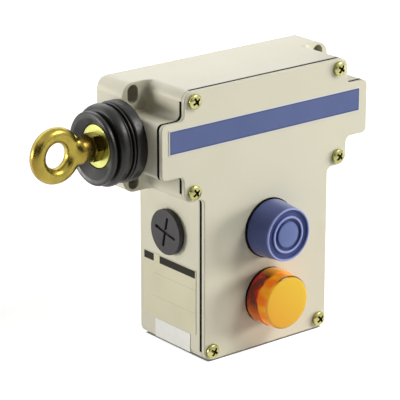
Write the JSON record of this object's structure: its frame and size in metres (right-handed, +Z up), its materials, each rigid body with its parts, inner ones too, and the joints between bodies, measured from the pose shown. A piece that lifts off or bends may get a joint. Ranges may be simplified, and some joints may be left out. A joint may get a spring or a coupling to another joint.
{
  "type": "rope pull switch",
  "caption": "Rope pull safety switch: T-shaped cast housing with a booted pull eye on its left, a booted reset button, a pilot light and side cable entries.",
  "frame": {"origin": "on the back mounting face, level with the rope axis, on the centre line of the stem", "axes": "+X from the pull eye towards the closed end along the rope axis, +Y from the front cover into the wall, +Z up the stem towards the head"},
  "size_m": [0.1874, 0.067, 0.142],
  "materials": {
    "casting_paint": "fine textured light beige-grey coating",
    "cover_paint": "fine textured light beige-grey coating",
    "gasket_rubber": "matt black",
    "yellow_zinc": "yellow passivated zinc",
    "strip_blue": "satin blue film",
    "plate_cream": "satin cream film",
    "sticker_white": "plain white",
    "bronze": "sintered bronze",
    "boot_rubber": "matt black with a soft sheen",
    "bright_steel": "turned",
    "spring_steel": "drawn wire",
    "cam_plastic": "moulded",
    "zinc_sheet": "zinc plated sheet",
    "block_red": "moulded",
    "block_green": "moulded",
    "plunger_white": "moulded",
    "bezel_black": "moulded",
    "button_plastic": "moulded",
    "button_blue": "silicone, satin",
    "lens_amber": "clear tinted, glossy",
    "lamp_glass": "clear bulb",
    "holder_plastic": "moulded",
    "plug_grey": "moulded, dark grey"
  },
  "bodies": {
    "housing": {"housing_body": "casting_paint", "front_cover": "cover_paint", "cover_gasket": "gasket_rubber", "cover_screws": "yellow_zinc", "front_label": "strip_blue", "data_plate": "plate_cream", "reference_sticker": "sticker_white", "nose_bush": "bronze", "tail_bush": "bronze", "boot": "boot_rubber", "main_spring": "spring_steel", "contact_bracket": "zinc_sheet", "bracket_screws": "bright_steel", "contact_block_nc": "block_red", "contact_block_no": "block_green", "contact_terminals": "bright_steel", "latch_pin": "bright_steel", "latch_spring": "spring_steel", "reset_gasket": "gasket_rubber", "reset_bezel": "bezel_black", "reset_nut": "bezel_black", "reset_spring": "spring_steel", "reset_boot": "button_blue", "pilot_gasket": "gasket_rubber", "pilot_bezel": "bezel_black", "pilot_nut": "bezel_black", "pilot_lens": "lens_amber", "pilot_lamp": "lamp_glass", "lamp_holder": "holder_plastic", "lamp_terminals": "bright_steel", "blanking_plug_left": "plug_grey", "blanking_plug_right": "plug_grey", "plug_seal_left": "gasket_rubber", "plug_seal_right": "gasket_rubber", "earth_screw": "yellow_zinc"},
    "rope_rod": {"pull_rod": "bright_steel", "eyebolt": "yellow_zinc", "lock_nut": "yellow_zinc", "eye_washer": "yellow_zinc", "spring_collar": "bright_steel", "switch_cam": "cam_plastic", "cam_pin": "bright_steel"},
    "nc_plunger": {"plunger_nc": "plunger_white"},
    "no_plunger": {"plunger_no": "plunger_white"},
    "reset_push": {"reset_button": "button_plastic"},
    "latch": {"latch_lever": "zinc_sheet"}
  },
  "joints": [
    {"name": "rope_pull", "type": "slide", "parent": "housing", "child": "rope_rod", "axis": [-1, 0, 0], "range_m": [0, 0.012], "stiffness_N_per_m": 1500, "springref_m": -0.006, "deforming": ["boot", "main_spring"]},
    {"name": "nc_plunger_slide", "type": "slide", "parent": "housing", "child": "nc_plunger", "axis": [0, -1, 0], "range_m": [0, 0.003]},
    {"name": "no_plunger_slide", "type": "slide", "parent": "housing", "child": "no_plunger", "axis": [0, -1, 0], "range_m": [0, 0.003]},
    {"name": "reset_press", "type": "slide", "parent": "housing", "child": "reset_push", "axis": [0, 1, 0], "range_m": [0, 0.004], "stiffness_N_per_m": 500, "springref_m": -0.002, "deforming": ["reset_boot", "reset_spring"]},
    {"name": "latch_rock", "type": "hinge", "parent": "housing", "child": "latch", "pos_m": [0.0013, -0.03, -0.032], "axis": [1, 0, 0], "range_deg": [0, 11.8]}
  ],
  "couplings": [
    {"joint": "nc_plunger_slide", "follows": "rope_pull", "ratio": 0.25},
    {"joint": "no_plunger_slide", "follows": "rope_pull", "ratio": 0.25},
    {"joint": "latch_rock", "follows": "reset_press", "rad_per_m": 51.28}
  ]
}
